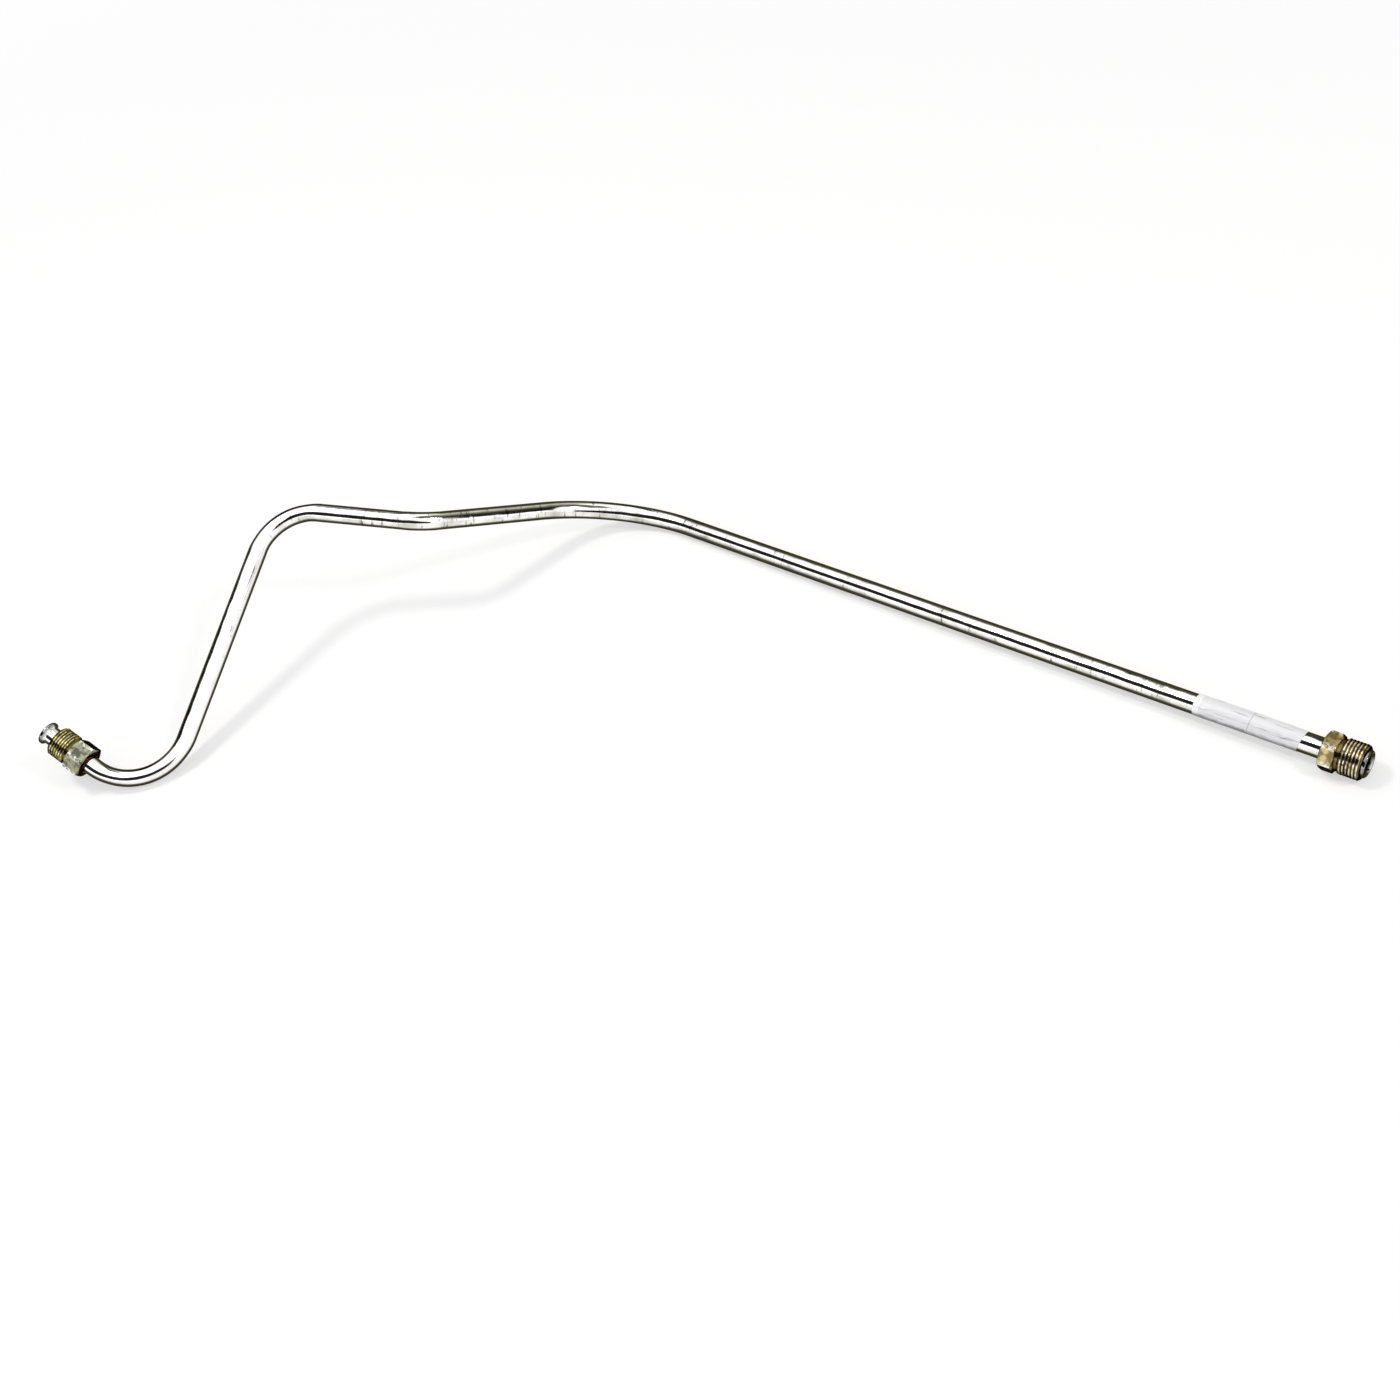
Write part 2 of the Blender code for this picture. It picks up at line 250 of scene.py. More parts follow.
class Run:
    """A straight length of the tube."""

    ends_tube = False
    # How far a flare may stand past a run that ends the tube
    flare_room = 5 * MM

    def __init__(self, along, start, heading, mark, length):
        self.along, self.start, self.heading = along, start, heading
        self.mark, self.length = mark, length

    def sweep(self, back=False):
        """Extrudes the selected ring along the run."""
        travel = self.heading * (-self.length if back else self.length)
        bpy.ops.mesh.extrude_region_move(TRANSFORM_OT_translate={"value": travel})

    def straightened(self, point):
        """The point's place on the straight tube, or None if it isn't on this run."""
        offset = point - self.start
        travel = offset.dot(self.heading)
        side = offset - self.heading * travel
        room = SLACK + (self.flare_room if self.ends_tube else 0)
        if not -room <= travel <= self.length + room or side.length > REACH:
            return None
        across = self.heading.cross(self.mark)
        return Vector((self.along + travel, side.dot(self.mark), side.dot(across)))


class Bend:
    """An arc of the tube."""

    def __init__(self, along, start, heading, towards, mark, radius, turn):
        self.along, self.heading, self.towards = along, heading, towards
        self.mark, self.radius, self.turn = mark, radius, turn
        self.centre = start + towards * radius
        self.axis = heading.cross(towards)

    def sweep(self, step, back=False):
        """Spins the selected ring round the die's centre."""
        bpy.ops.mesh.spin(
            steps=math.ceil(self.turn / step), angle=self.turn * (1 if back else -1),
            center=self.centre, axis=self.axis)

    def swing(self, angle):
        """The turn that the tube has made at an angle of the bend."""
        return Matrix.Rotation(angle, 3, self.axis)

    def straightened(self, point):
        """The point's place on the straight tube, or None if it isn't on this bend."""
        offset = point - self.centre
        angle = math.atan2(offset.dot(self.heading), offset.dot(-self.towards))
        if not -SLACK / self.radius <= angle <= self.turn + SLACK / self.radius:
            return None
        swing = self.swing(angle)
        side = offset + swing @ self.towards * self.radius
        if side.length > REACH:
            return None
        mark = swing @ self.mark
        across = (swing @ self.heading).cross(mark)
        return Vector((self.along + angle * self.radius, side.dot(mark), side.dot(across)))


def joint_place(name):
    """A point on a joint's axis, the axis, and a level direction across it."""
    joint = next(joint for joint in frame["joints"] if joint["name"] == name)
    axis = Vector(joint["axis"]).normalized()
    return Vector(joint["pos_m"]), axis, Vector((0, 0, 1)).cross(axis).normalized()


def bending_moves(tube, nuts):
    """The runs and bends of the tube, from its outlet end, where it lies in the frame."""
    nose, outward, level = joint_place("outlet_nut_turn")
    point = nose + outward * nuts.seat
    heading = -outward
    towards = Matrix.Rotation(tube.lean, 3, outward) @ -level
    mark = towards.copy()
    runs = [tube.long_run, tube.rise_run, tube.crest_run, tube.drop_run, tube.inlet_run]
    turns = [tube.long_bend, tube.knuckle_bend, tube.crest_bend, tube.foot_bend]
    radii = [tube.long_radius, tube.small_radius, tube.small_radius, tube.small_radius]
    twists = [0, tube.knuckle_twist, tube.crest_twist, tube.foot_twist]
    along = 0
    moves = []
    for run, turn, radius, twist in zip(runs, turns, radii, twists):
        moves.append(Run(along, point, heading, mark, run))
        point = point + heading * run
        along += run
        towards = Matrix.Rotation(twist, 3, heading) @ towards
        bend = Bend(along, point, heading, towards, mark, radius, turn)
        moves.append(bend)
        swing = bend.swing(turn)
        point = bend.centre - swing @ towards * radius
        heading, towards, mark = swing @ heading, swing @ towards, swing @ mark
        along += radius * turn
    moves.append(Run(along, point, heading, mark, runs[-1]))
    moves[0].ends_tube = moves[-1].ends_tube = True
    return moves


def flare_stations(tube, lip_steps):
    """Distance from the end face and radius, from a flare's mouth round its lip to the tube."""
    radius = tube.diameter / 2
    flare = tube.flare_diameter / 2
    length = flare - radius - tube.wall + 2 * math.sqrt(2) * tube.wall
    stations = [(0, flare - tube.wall - tube.flare_land)]
    for step in range(lip_steps + 1):
        angle = math.pi / 2 * step / lip_steps
        stations.append((
            tube.wall * (1 - math.cos(angle)),
            flare - tube.wall + tube.wall * math.sin(angle)))
    stations.append((length - (flare - radius), flare))
    stations.append((length, radius))
    return stations


def step_ring(end, outward, before, after):
    """Extrudes the selected ring between two stations: distance from the end, and radius."""
    travel = outward * (before[0] - after[0])
    bpy.ops.mesh.extrude_region_move(TRANSFORM_OT_translate={"value": travel})
    share = after[1] / before[1]
    bpy.ops.transform.resize(value=(share, share, share), center_override=end - outward * after[0])


class FUELLINE_OT_tube(bpy.types.Operator):
    """Bend the tube: a ring swept along each run, spun round each die and flared at both ends"""

    bl_idname = "fuel_line.tube"
    bl_label = "Bend the tube"

    sides = 96
    outer_step = math.radians(1.5)
    bore_step = math.radians(3)
    lip_steps = 8
    # Edges sharper than this are rounded
    sharp = math.radians(30)
    rounding = 0.2 * MM
    rounding_steps = 3
    smooth = math.radians(40)
    # How far the finishes of the bore and of the mouth reach, and where the flare begins
    bore_reach = 0.4 * MM
    rim = 0.15 * MM
    flare_rise = 0.2 * MM
    # The flare is drawn darker: its share of the bare finish
    flare_bare_share = 0.7
    # A bend is at its flattest over the middle part, and gets there this steeply
    flattens = 2

    def execute(self, context):
        tube, nuts = context.scene.fuel_line_tube, context.scene.fuel_line_nuts
        moves = bending_moves(tube, nuts)
        outlet, inlet = moves[0], moves[-1]
        stations = flare_stations(tube, self.lip_steps)
        bore = tube.diameter / 2 - tube.wall
        throat = (stations[0][1] - bore, bore)
        outlet_end, outlet_out = outlet.start, -outlet.heading
        inlet_end, inlet_out = inlet.start + inlet.heading * inlet.length, inlet.heading

        deselect()
        bpy.ops.mesh.primitive_circle_add(vertices=self.sides, radius=stations[0][1])
        piece = context.object
        piece.name = "bent_tube"
        turn = outlet_out.to_track_quat("Z", "Y").to_matrix().to_4x4()
        piece.data.transform(Matrix.Translation(outlet_end) @ turn)
        bpy.ops.object.mode_set(mode="EDIT")
        bpy.ops.mesh.select_all(action="SELECT")

        for before, after in zip(stations, stations[1:]):
            step_ring(outlet_end, outlet_out, before, after)
        self.sweep(moves, stations[-1][0], self.outer_step, False)
        ahead = stations[::-1] + [throat]
        for before, after in zip(ahead, ahead[1:]):
            step_ring(inlet_end, inlet_out, before, after)
        self.sweep(moves, throat[0], self.bore_step, True)
        step_ring(outlet_end, outlet_out, throat, stations[0])

        bpy.ops.mesh.select_all(action="SELECT")
        bpy.ops.mesh.remove_doubles(threshold=WELD)
        bpy.ops.mesh.normals_make_consistent(inside=False)
        bpy.ops.mesh.select_all(action="DESELECT")
        bpy.ops.mesh.edges_select_sharp(sharpness=self.sharp)
        bpy.ops.mesh.bevel(offset=self.rounding, segments=self.rounding_steps)
        bpy.ops.object.mode_set(mode="OBJECT")

        self.flatten_bends(piece, moves, tube.flattening)
        remember_place(piece, "as_drawn", lambda point: self.straightened(point, moves))
        self.mark_inside(piece, moves, bore, tube.diameter / 2, stations[0][1])
        bpy.ops.object.shade_smooth_by_angle(angle=self.smooth)
        piece.data.materials.append(drawn_steel(context.scene.fuel_line_colours))
        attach(piece, "tube")
        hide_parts("fuel_tube")
        return {"FINISHED"}

    @staticmethod
    def sweep(moves, end_length, step, back):
        """Sweeps the selected ring from one flare to the other."""
        for move in reversed(moves) if back else moves:
            if isinstance(move, Bend):
                move.sweep(step, back)
            elif move.ends_tube:
                plain = move.length - end_length
                Run(0, move.start, move.heading, move.mark, plain).sweep(back)
            else:
                move.sweep(back)

    @staticmethod
    def straightened(point, moves):
        """Where a point of the bent tube was on the straight one."""
        for move in moves:
            place = move.straightened(point)
            if place:
                return place
        raise RuntimeError(f"a point of the tube lies on none of its moves: {point}")

    def mark_inside(self, piece, moves, bore, outside, mouth):
        """Marks the bore and the cone of each flare's mouth, for the finish."""
        end = moves[-1].along + moves[-1].length
        layer = piece.data.attributes.new("inside", "FLOAT", "POINT")
        for place, mark in zip(piece.data.attributes["as_drawn"].data, layer.data):
            along, *across = place.vector
            radius = math.hypot(*across)
            in_bore = radius < bore + self.bore_reach
            in_mouth = radius < mouth - self.rim and min(along, end - along) < mouth - bore
            on_flare = radius > outside + self.flare_rise
            mark.value = 1 if in_bore or in_mouth else self.flare_bare_share if on_flare else 0

    def flatten_bends(self, piece, moves, share):
        """Draws each small bend in a little, towards and away from its die, as bending does."""
        bends = [move for move in moves if isinstance(move, Bend)]
        tight = min(bend.radius for bend in bends)
        for vertex in piece.data.vertices:
            for bend in bends:
                place = bend.straightened(vertex.co)
                if not place:
                    continue
                angle = (place.x - bend.along) / bend.radius
                inward = bend.swing(angle) @ bend.towards
                centre = bend.centre - inward * bend.radius
                side = vertex.co - centre
                ramp = min(1, math.sin(math.pi * angle / bend.turn) * self.flattens)
                squeeze = share * ramp * tight / bend.radius
                # It gives way by the squeeze towards the die, and swells by a third of it across
                swollen = centre + side * (1 + squeeze / 3)
                vertex.co = swollen - inward * side.dot(inward) * squeeze * 4 / 3
                break


def lathe(name, stations, sides):
    """A closed turned solid about Z: a disc, drawn out through the stations (radius, height)."""
    deselect()
    radius, height = stations[0]
    bpy.ops.mesh.primitive_circle_add(vertices=sides, radius=radius, fill_type="NGON")
    piece = bpy.context.object
    piece.name = name
    piece.data.transform(Matrix.Translation((0, 0, height)))
    bpy.ops.object.mode_set(mode="EDIT")
    bpy.ops.mesh.select_all(action="SELECT")
    for (wide, high), (next_wide, next_high) in zip(stations, stations[1:]):
        travel = (0, 0, next_high - high)
        bpy.ops.mesh.extrude_region_move(TRANSFORM_OT_translate={"value": travel})
        share = next_wide / wide
        bpy.ops.transform.resize(value=(share, share, 1), center_override=(0, 0, next_high))
    bpy.ops.mesh.select_all(action="SELECT")
    bpy.ops.mesh.normals_make_consistent(inside=False)
    bpy.ops.object.mode_set(mode="OBJECT")
    return piece


def cut_with(piece, tool, operation):
    """Applies a Boolean with a tool that is then thrown away, and welds the cut.

    Both solids have to be closed, or the cut comes out another way from run to run.
    """
    apply_modifier(piece, "BOOLEAN", operation=operation, solver="EXACT", object=tool)
    bpy.data.objects.remove(tool, do_unlink=True)
    bpy.ops.object.mode_set(mode="EDIT")
    bpy.ops.mesh.select_all(action="SELECT")
    bpy.ops.mesh.remove_doubles(threshold=WELD)
    bpy.ops.object.mode_set(mode="OBJECT")


class FUELLINE_OT_nuts(bpy.types.Operator):
    """Turn both tube nuts: hexagon, crowned ends, thread, relief, flare recess and bore"""

    bl_idname = "fuel_line.nuts"
    bl_label = "Turn the tube nuts"

    sides = 96
    smooth = math.radians(28)
    # Radius of the flat at each end of the hexagon, and the slope from there to its corners
    crown = 15.1 * MM / 2
    crown_slope = math.tan(math.radians(30))
    crest_rounding = 0.05 * MM
    bore_clearance = 0.3 * MM
    nose_wall = 1.4 * MM
    nose_chamfer = 0.7 * MM
    back_chamfer = 0.5 * MM
    relief_width = 1.3 * MM
    relief_depth = 0.77 * MM
    # A tool runs past what it cuts by the first, and its blank stands off the crests by the second
    overrun = 1 * MM
    stand_off = 0.02 * MM
    # How patchy the bright rubbing is: the higher, the less of it
    outlet_rubbing = 0.43
    inlet_rubbing = 0.46

    def execute(self, context):
        nuts = context.scene.fuel_line_nuts
        colours = context.scene.fuel_line_colours
        gold = (colours.gold, colours.bronze)
        olive, grey = (colours.olive, colours.moss), (colours.pewter, colours.slate)
        outlet_finish = passivated_zinc(
            "yellow_zinc_outlet", colours, gold, gold, self.outlet_rubbing)
        inlet_finish = passivated_zinc(
            "yellow_zinc_inlet", colours, olive, grey, self.inlet_rubbing)
        for node, name, hexagon, finish in (
                ("outlet_nut", "outlet_tube_nut", nuts.outlet_hex, outlet_finish),
                ("inlet_nut", "inlet_tube_nut", nuts.inlet_hex, inlet_finish)):
            nut = self.turn_nut(name, nuts, hexagon, context.scene.fuel_line_tube)
            remember_place(nut, "as_turned", lambda point: point)
            nose, outward, side = joint_place(node + "_turn")
            turn = Matrix((side, outward.cross(side), outward)).transposed().to_4x4()
            nut.data.transform(Matrix.Translation(nose) @ turn)
            nut.data.materials.clear()
            nut.data.materials.append(finish)
            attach(nut, node)
            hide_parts(node)
        return {"FINISHED"}

    def turn_nut(self, name, nuts, hex_length, tube):
        """One nut about Z, its nose face at the origin and its hexagon lowest."""
        hex_top = -nuts.thread_length
        back = hex_top - hex_length
        nut = self.hexagon_bar(name, nuts, hex_top, back)
        cut_with(nut, self.crowns(nuts, hex_top, back), "INTERSECT")
        cut_with(nut, self.threaded_shank(nuts, hex_top, hex_length), "UNION")
        cut_with(nut, self.bore(nuts, tube, back), "DIFFERENCE")
        bpy.ops.object.shade_smooth_by_angle(angle=self.smooth)
        return nut

    def hexagon_bar(self, name, nuts, top, bottom):
        """Drawn hexagon bar with a flat towards +Y."""
        deselect()
        bpy.ops.mesh.primitive_cylinder_add(
            vertices=6, radius=nuts.across_flats / math.sqrt(3), depth=top - bottom)
        bar = bpy.context.object
        bar.name = name
        middle = Matrix.Translation((0, 0, (top + bottom) / 2))
        bar.data.transform(middle @ Matrix.Rotation(math.radians(30), 4, "Z"))
        return bar

    def crowns(self, nuts, top, back):
        """What the hexagon's ends are turned to: a 30 degree cone at each, drawn on past it."""
        corner = nuts.across_flats / math.sqrt(3) + self.overrun
        fall = (corner - self.crown) * self.crown_slope
        tip = self.crown - self.overrun / self.crown_slope
        return lathe("crowns", [
            (tip, top + self.overrun), (corner, top - fall),
            (corner, back + fall), (tip, back - self.overrun)], self.sides)

    def threaded_shank(self, nuts, hex_top, hex_length):
        """The thread, cut back to its blank: chamfered nose, relief neck, root in the hexagon."""
        radius = nuts.thread_diameter / 2
        neck = radius - self.relief_depth
        crest = radius + self.stand_off
        blank = lathe("shank_blank", [
            (radius - self.nose_chamfer, 0),
            (crest, -self.nose_chamfer - self.stand_off),
            (crest, hex_top + self.relief_width + self.relief_depth),
            (neck, hex_top + self.relief_width),
            (neck, hex_top - hex_length / 2)], self.sides)
        thread = self.thread(nuts, hex_top - hex_length / 2 - self.overrun)
        cut_with(thread, blank, "INTERSECT")
        return thread

    def thread(self, nuts, bottom):
        """A closed bar with a right-hand thread, from below the bottom to above the nose."""
        pitch = nuts.pitch
        crest = nuts.thread_diameter / 2
        root = crest - nuts.thread_depth
        shoulder = crest - self.crest_rounding
        # Radius and share of the pitch: 30 degree flanks, and a crest of a third of the pitch
        tooth = [
            (root, 0), (root, 0.1), (shoulder, 0.36), (crest, 0.39), (crest, 0.71),
            (shoulder, 0.74)]
        # One tooth more at each end, because the ends are cut off square below
        teeth = math.ceil((self.overrun - bottom) / pitch) + 2
        profile = [(radius, 0, bottom + pitch * (number - 1 + share))
                   for number in range(teeth) for radius, share in tooth]
        mesh = bpy.data.meshes.new("thread")
        mesh.from_pydata(profile, [(spot, spot + 1) for spot in range(len(profile) - 1)], [])
        bar = bpy.data.objects.new("thread", mesh)
        bpy.context.scene.collection.objects.link(bar)
        apply_modifier(
            bar, "SCREW", axis="Z", angle=math.tau, screw_offset=pitch, steps=self.sides,
            render_steps=self.sides)
        bpy.ops.object.mode_set(mode="EDIT")
        bpy.ops.mesh.select_all(action="SELECT")
        bpy.ops.mesh.remove_doubles(threshold=WELD)
        for height, outward in ((bottom + 0.1 * MM, -1), (self.overrun / 2, 1)):
            bpy.ops.mesh.select_all(action="SELECT")
            bpy.ops.mesh.bisect(
                plane_co=(0, 0, height), plane_no=(0, 0, outward), clear_outer=True)
        # Bisect's own fill leaves the upper end open
        bpy.ops.mesh.select_all(action="SELECT")
        bpy.ops.mesh.fill_holes(sides=0)
        bpy.ops.mesh.select_all(action="SELECT")
        bpy.ops.mesh.normals_make_consistent(inside=False)
        bpy.ops.object.mode_set(mode="OBJECT")
        return bar

    def bore(self, nuts, tube, back):
        """The drill: 45 degree recess for the flare, clearance hole and a chamfer at the back."""
        hole = tube.diameter / 2 + self.bore_clearance
        recess = nuts.thread_diameter / 2 - self.nose_wall
        return lathe("bore", [
            (recess + self.overrun, self.overrun),
            (hole, hole - recess),
            (hole, back + self.back_chamfer),
            (hole + self.back_chamfer + self.overrun, back - self.overrun)], self.sides)


class FUELLINE_OT_label(bpy.types.Operator):
    """Wrap the blank paper label round the long run"""

    bl_idname = "fuel_line.label"
    bl_label = "Wrap the label"

    along_steps = 60
    round_steps = 160
    smooth = math.radians(40)
    lift = 0.06 * MM
    peel = 0.22 * MM
    slack = 0.4 * MM
    wrinkle = 0.02 * MM
    # The end of the sheet is torn unevenly, by this turn about the tube
    ragged = math.radians(1.6)
    # The second lap climbs onto the first over one turn, and the free edge peels over the other
    climbs_over = math.radians(12)
    peels_over = math.radians(16)
    # The laps lie this many thicknesses apart
    lap_gap = 1.2
    # The sheet was wrapped a little askew: by how much, and towards which side
    skew = 1.1 * MM
    skew_towards = math.radians(60)

    def execute(self, context):
        scene = context.scene
        label, tube, nuts = scene.fuel_line_label, scene.fuel_line_tube, scene.fuel_line_nuts
        nose, outward, side = joint_place("outlet_nut_turn")
        up = outward.cross(side)
        start = nose + outward * (nuts.seat - label.from_end - label.length)
        sweep = math.tau + label.overlap

        deselect()
        bpy.ops.mesh.primitive_grid_add(
            x_subdivisions=self.along_steps, y_subdivisions=self.round_steps, size=2)
        piece = context.object
        piece.name = "paper_label"
        flat = []
        # Each unevenness is a sum of waves that don't fit together, so that none of it repeats
        for vertex in piece.data.vertices:
            share = (vertex.co.x + 1) / 2
            tear = math.sin(share * 31) + 0.6 * math.sin(share * 67 + 1)
            ragged = self.ragged * tear * (vertex.co.y + 1) / 2
            turn = (vertex.co.y + 1) / 2 * sweep + ragged
            angle = turn + label.seam
            lap = max(0, turn - math.tau + self.climbs_over) / self.climbs_over
            radius = tube.diameter / 2 + self.lift
            radius += label.thickness * self.lap_gap * min(1, lap)
            wrinkle = math.sin(turn * 5 + share * 21) * (1 + math.sin(share * 13))
            radius += self.wrinkle * wrinkle
            # It stands off the tube along the top
            top = max(0, math.sin(angle)) ** 2
            radius += self.slack * top * math.sin(math.pi * share) ** 0.5
            # The free edge lifts here and there
            peel = max(0, (turn - sweep) / self.peels_over + 1) ** 2
            lifted = 1.1 + math.sin(share * 23) + math.sin(share * 51 + 2)
            radius += self.peel * peel * lifted / 2
            skew = self.skew * math.cos(angle - self.skew_towards) * share
            place = start + outward * (share * label.length + skew)
            vertex.co = place + (side * math.cos(angle) + up * math.sin(angle)) * radius
            flat.append(Vector((share * label.length, turn * tube.diameter / 2, 0)))
        places = iter(flat)
        remember_place(piece, "as_flat", lambda point: next(places))
        bpy.ops.object.mode_set(mode="EDIT")
        bpy.ops.mesh.select_all(action="SELECT")
        bpy.ops.mesh.normals_make_consistent(inside=False)
        bpy.ops.object.mode_set(mode="OBJECT")
        # The paper gets its thickness on the side away from the tube
        first = piece.data.polygons[0]
        reach = first.center - start
        facing = first.normal.dot(reach - outward * reach.dot(outward))
        apply_modifier(
            piece, "SOLIDIFY", thickness=label.thickness, offset=math.copysign(1, facing))
        bpy.ops.object.shade_smooth_by_angle(angle=self.smooth)
        piece.data.materials.append(label_paper(scene.fuel_line_colours, label))
        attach(piece, "tube")
        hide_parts("wrap_label")
        return {"FINISHED"}


def drawn_steel(colours):
    """Low-carbon steel tube, bright drawn and thinly zinc coated: it mirrors the room, with fine
    lines along the tube from the drawing die and a faint orange peel under them. Its colour is
    painted darker where it is seen edge-on, as painted shade."""
    material, tree = new_material("bright_drawn_steel")
    place = add_node(tree, "ShaderNodeAttribute", {"attribute_name": "as_drawn"})
    # Orange peel of 2 mm, pits of 0.5 mm, ripples of 13 mm from straightening, and stains of
    # 10 mm from storage
    peel, pits, ripple, stain = (
        add_node(
            tree, "ShaderNodeTexNoise", {"Scale": scale, "Detail": detail},
            [("Vector", place, "Vector")])
        for scale, detail in ((350.0, 2.0), (1900.0, 1.0), (75.0, 1.0), (90.0, 6.0)))
    # Drawing lines, 60 mm long and 0.8 mm apart, coarser than real ones so that they show, and
    # rub marks across the tube, 1.5 mm wide and up to 7 mm round it, from the bender and the rack
    lines, marks = (
        add_node(
            tree, "ShaderNodeTexNoise", {"Scale": 1.0, "Detail": detail},
            [("Vector", add_node(
                tree, "ShaderNodeMapping", {"Scale": stretch},
                [("Vector", place, "Vector")]), "Vector")])
        for stretch, detail in (((17, 1250, 1250), 2.0), ((600, 140, 140), 3.0)))
    relief = []
    for pattern, strength, depth in (
            (ripple, 1.0, 0.45 * MM), (peel, 0.25, 0.06 * MM),
            (lines, 0.2, 0.02 * MM), (pits, 0.25, 0.02 * MM)):
        under = [("Normal", layer, "Normal") for layer in relief[-1:]]
        relief.append(add_node(
            tree, "ShaderNodeBump", {"Strength": strength, "Distance": depth},
            [("Height", pattern, "Fac")] + under))
    # The drop and the inlet end, past 590 mm, hung clear of the rack and stayed clean
    axes = add_node(tree, "ShaderNodeSeparateXYZ", (), [("Vector", place, "Vector")])
    racked = add_node(
        tree, "ShaderNodeMapRange",
        {"From Min": 590 * MM, "From Max": 610 * MM, "To Min": 0.8, "To Max": 0.15},
        [("Value", axes, "X")])
    stained, ticked = (
        add_node(
            tree, "ShaderNodeMapRange", {"From Min": none, "From Max": 0.72},
            [("Value", pattern, "Fac"), ("To Max", racked, "Result")])
        for pattern, none in ((stain, 0.42), (marks, 0.6)))
    drawn = add_node(
        tree, "ShaderNodeMix",
        {"data_type": "RGBA", MIX_A: (*colours.steel, 1), MIX_B: (*colours.steel_stain, 1)},
        [("Factor", stained, "Result")])
    used = add_node(
        tree, "ShaderNodeMix", {"data_type": "RGBA", MIX_B: (*colours.steel_rubs_and_edge_shade, 1)},
        [("Factor", ticked, "Result"), (MIX_A, drawn, MIX_RESULT)])
    # Painted shade: the steel darkens where the tube is seen edge-on
    edge_shaded = paint_edge_shade(tree, used, colours.steel_rubs_and_edge_shade, 0.26, 0.4, 0.75, 0.85)
    # The bore and the flares' mouths are bare
    inside = add_node(tree, "ShaderNodeAttribute", {"attribute_name": "inside"})
    shell = add_node(
        tree, "ShaderNodeMix", {"data_type": "RGBA", MIX_B: (*colours.bare, 1)},
        [("Factor", inside, "Fac"), (MIX_A, edge_shaded, MIX_RESULT)])
    rough = add_node(
        tree, "ShaderNodeMapRange",
        {"From Min": 0.3, "From Max": 0.8, "To Min": 0.05, "To Max": 0.16},
        [("Value", stain, "Fac")])
    steel = add_node(
        tree, "ShaderNodeBsdfPrincipled",
        {"Metallic": 1.0, "Specular Tint": (*colours.steel_stain, 1)},
        [("Base Color", shell, MIX_RESULT), ("Roughness", rough, "Result"),
         ("Normal", relief[-1], "Normal")])
    add_node(tree, "ShaderNodeOutputMaterial", (), [("Surface", steel, "BSDF")])
    return material


